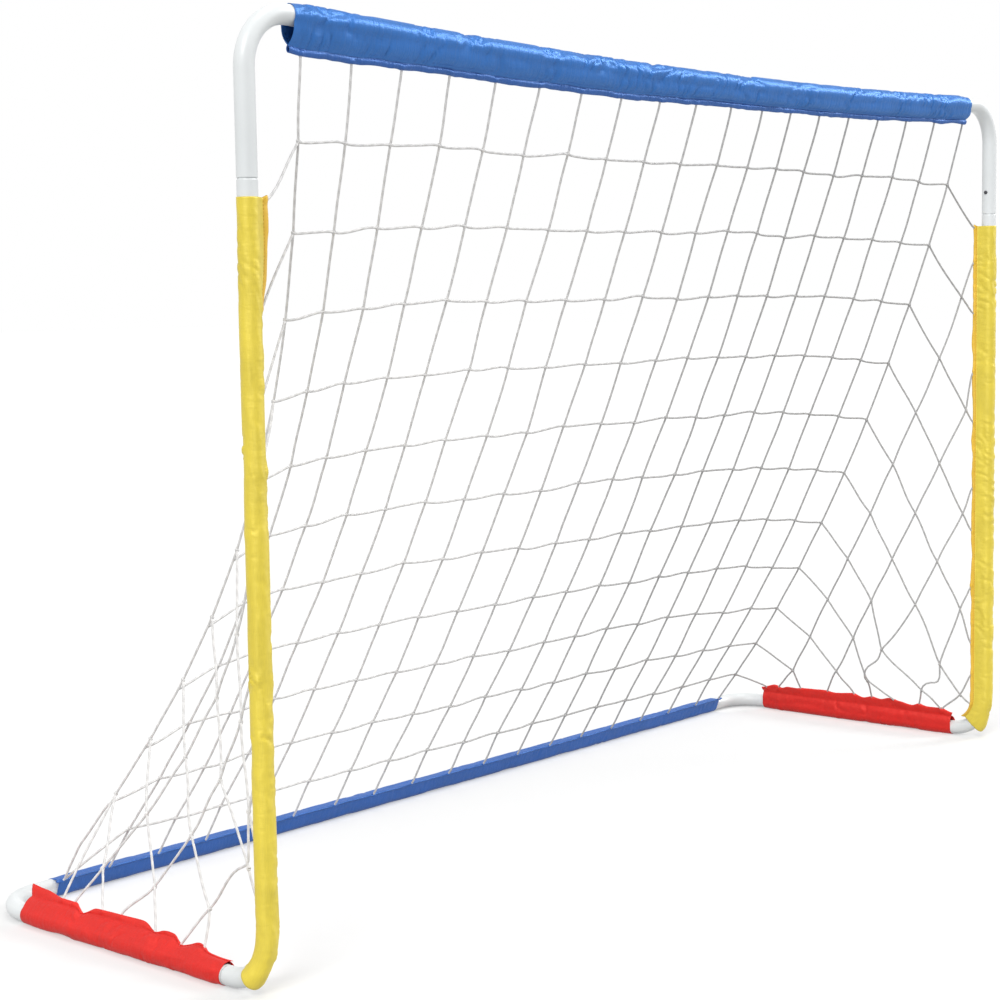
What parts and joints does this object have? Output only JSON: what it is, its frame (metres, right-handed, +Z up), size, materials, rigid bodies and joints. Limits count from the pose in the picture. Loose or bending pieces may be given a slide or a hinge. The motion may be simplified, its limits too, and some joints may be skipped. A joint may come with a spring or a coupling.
{
  "type": "portable goal net",
  "caption": "Portable sports goal: push-fit white steel tube frame, blue, yellow and red fabric sleeves, knotted twine net.",
  "frame": {"origin": "on the ground, in the middle of the bounding box seen from above", "axes": "+X along the crossbar, to the right when looking into the mouth; the mouth faces -Y; +Z up"},
  "size_m": [1.8272, 0.5772, 1.1718],
  "materials": {
    "tube": "gloss powder coat",
    "button": "zinc plated",
    "clip": "spring steel",
    "blue_sleeve": "satin polyester",
    "yellow_sleeve": "satin polyester",
    "red_sleeve": "satin polyester",
    "twine": "knotted braided twine"
  },
  "bodies": {
    "goal": {"top_corner_left": "tube", "top_corner_right": "tube", "crossbar_tube": "tube", "post_left": "tube", "post_right": "tube", "rear_corner_left": "tube", "rear_corner_right": "tube", "rear_bar": "tube", "clip_post_left": "clip", "clip_post_right": "clip", "clip_crossbar_left": "clip", "clip_crossbar_right": "clip", "clip_foot_left": "clip", "clip_foot_right": "clip", "clip_rear_left": "clip", "clip_rear_right": "clip", "crossbar_sleeve": "blue_sleeve", "post_sleeve_left": "yellow_sleeve", "post_sleeve_right": "yellow_sleeve", "side_sleeve_left": "red_sleeve", "side_sleeve_right": "red_sleeve", "rear_sleeve": "blue_sleeve", "net_back": "twine", "net_left": "twine", "net_right": "twine"},
    "button_post_left": {"button_post_left": "button"},
    "button_post_right": {"button_post_right": "button"},
    "button_crossbar_left": {"button_crossbar_left": "button"},
    "button_crossbar_right": {"button_crossbar_right": "button"},
    "button_foot_left": {"button_foot_left": "button"},
    "button_foot_right": {"button_foot_right": "button"},
    "button_rear_left": {"button_rear_left": "button"},
    "button_rear_right": {"button_rear_right": "button"}
  },
  "joints": [
    {"name": "button_post_left_press", "type": "slide", "parent": "goal", "child": "button_post_left", "axis": [-1, 0, 0], "range_m": [0, 0.004], "stiffness_N_per_m": 1500, "springref_m": -0.002, "deforming": ["clip_post_left"]},
    {"name": "button_post_right_press", "type": "slide", "parent": "goal", "child": "button_post_right", "axis": [1, 0, 0], "range_m": [0, 0.004], "stiffness_N_per_m": 1500, "springref_m": -0.002, "deforming": ["clip_post_right"]},
    {"name": "button_crossbar_left_press", "type": "slide", "parent": "goal", "child": "button_crossbar_left", "axis": [0.0266, 0, 0.9996], "range_m": [0, 0.004], "stiffness_N_per_m": 1500, "springref_m": -0.002, "deforming": ["clip_crossbar_left"]},
    {"name": "button_crossbar_right_press", "type": "slide", "parent": "goal", "child": "button_crossbar_right", "axis": [-0.0266, 0, 0.9996], "range_m": [0, 0.004], "stiffness_N_per_m": 1500, "springref_m": -0.002, "deforming": ["clip_crossbar_right"]},
    {"name": "button_foot_left_press", "type": "slide", "parent": "goal", "child": "button_foot_left", "axis": [-0.342, 0, -0.9397], "range_m": [0, 0.004], "stiffness_N_per_m": 1500, "springref_m": -0.002, "deforming": ["clip_foot_left"]},
    {"name": "button_foot_right_press", "type": "slide", "parent": "goal", "child": "button_foot_right", "axis": [0.342, 0, -0.9397], "range_m": [0, 0.004], "stiffness_N_per_m": 1500, "springref_m": -0.002, "deforming": ["clip_foot_right"]},
    {"name": "button_rear_left_press", "type": "slide", "parent": "goal", "child": "button_rear_left", "axis": [0, 0.8192, -0.5736], "range_m": [0, 0.004], "stiffness_N_per_m": 1500, "springref_m": -0.002, "deforming": ["clip_rear_left"]},
    {"name": "button_rear_right_press", "type": "slide", "parent": "goal", "child": "button_rear_right", "axis": [0, 0.8192, -0.5736], "range_m": [0, 0.004], "stiffness_N_per_m": 1500, "springref_m": -0.002, "deforming": ["clip_rear_right"]}
  ]
}
